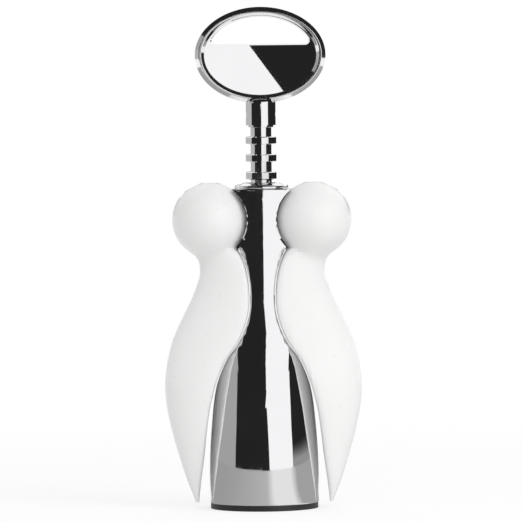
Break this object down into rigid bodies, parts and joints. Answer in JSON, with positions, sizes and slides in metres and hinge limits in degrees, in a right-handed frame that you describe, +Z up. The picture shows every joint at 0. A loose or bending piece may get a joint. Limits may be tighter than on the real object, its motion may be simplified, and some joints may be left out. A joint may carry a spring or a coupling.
{
  "type": "corkscrew",
  "caption": "Double-lever corkscrew with a waisted chrome body, ball-topped white wing levers geared to a ringed rack, and an oval handle with a half-moon opening.",
  "frame": {"origin": "middle of the base, where the collar stands on a table", "axes": "+Z up along the spindle, +X to the right lever seen from the front, the front faces -Y"},
  "size_m": [0.0704, 0.0394, 0.1788],
  "materials": {
    "chrome": "polished",
    "mirror_plate": "mirror polished",
    "white_shell": "satin gloss",
    "white_gear": "moulded",
    "black_plastic": "moulded satin",
    "steel": "plated"
  },
  "bodies": {
    "frame": {"body_frame": "chrome", "top_cap": "chrome", "guide_bush": "black_plastic", "bottle_collar": "black_plastic", "worm_guide": "black_plastic", "left_pivot_pin": "steel", "right_pivot_pin": "steel"},
    "rack": {"rack_sleeve": "chrome"},
    "spindle": {"spindle_shaft": "steel", "worm": "steel", "retaining_ring": "steel", "neck_collar": "chrome", "handle_rim": "chrome", "handle_plate": "mirror_plate", "handle_pin": "steel"},
    "left_lever": {"left_front_shell": "white_shell", "left_back_shell": "white_shell", "left_gear_sector": "white_gear", "left_lever_screws": "steel"},
    "right_lever": {"right_front_shell": "white_shell", "right_back_shell": "white_shell", "right_gear_sector": "white_gear", "right_lever_screws": "steel"}
  },
  "joints": [
    {"name": "rack_slide", "type": "slide", "parent": "frame", "child": "rack", "axis": [0, 0, 1], "range_m": [-0.0285, 0]},
    {"name": "spindle_spin", "type": "hinge", "parent": "rack", "child": "spindle", "pos_m": [0, 0, 0.12], "axis": [0, 0, 1], "continuous": true},
    {"name": "left_lever_swing", "type": "hinge", "parent": "frame", "child": "left_lever", "pos_m": [-0.0185, 0, 0.103], "axis": [0, 1, 0], "range_deg": [0, 117]},
    {"name": "right_lever_swing", "type": "hinge", "parent": "frame", "child": "right_lever", "pos_m": [0.0185, 0, 0.103], "axis": [0, -1, 0], "range_deg": [0, 117]}
  ],
  "couplings": [
    {"joint": "left_lever_swing", "follows": "rack_slide", "rad_per_m": -71.429},
    {"joint": "right_lever_swing", "follows": "rack_slide", "rad_per_m": -71.429}
  ]
}
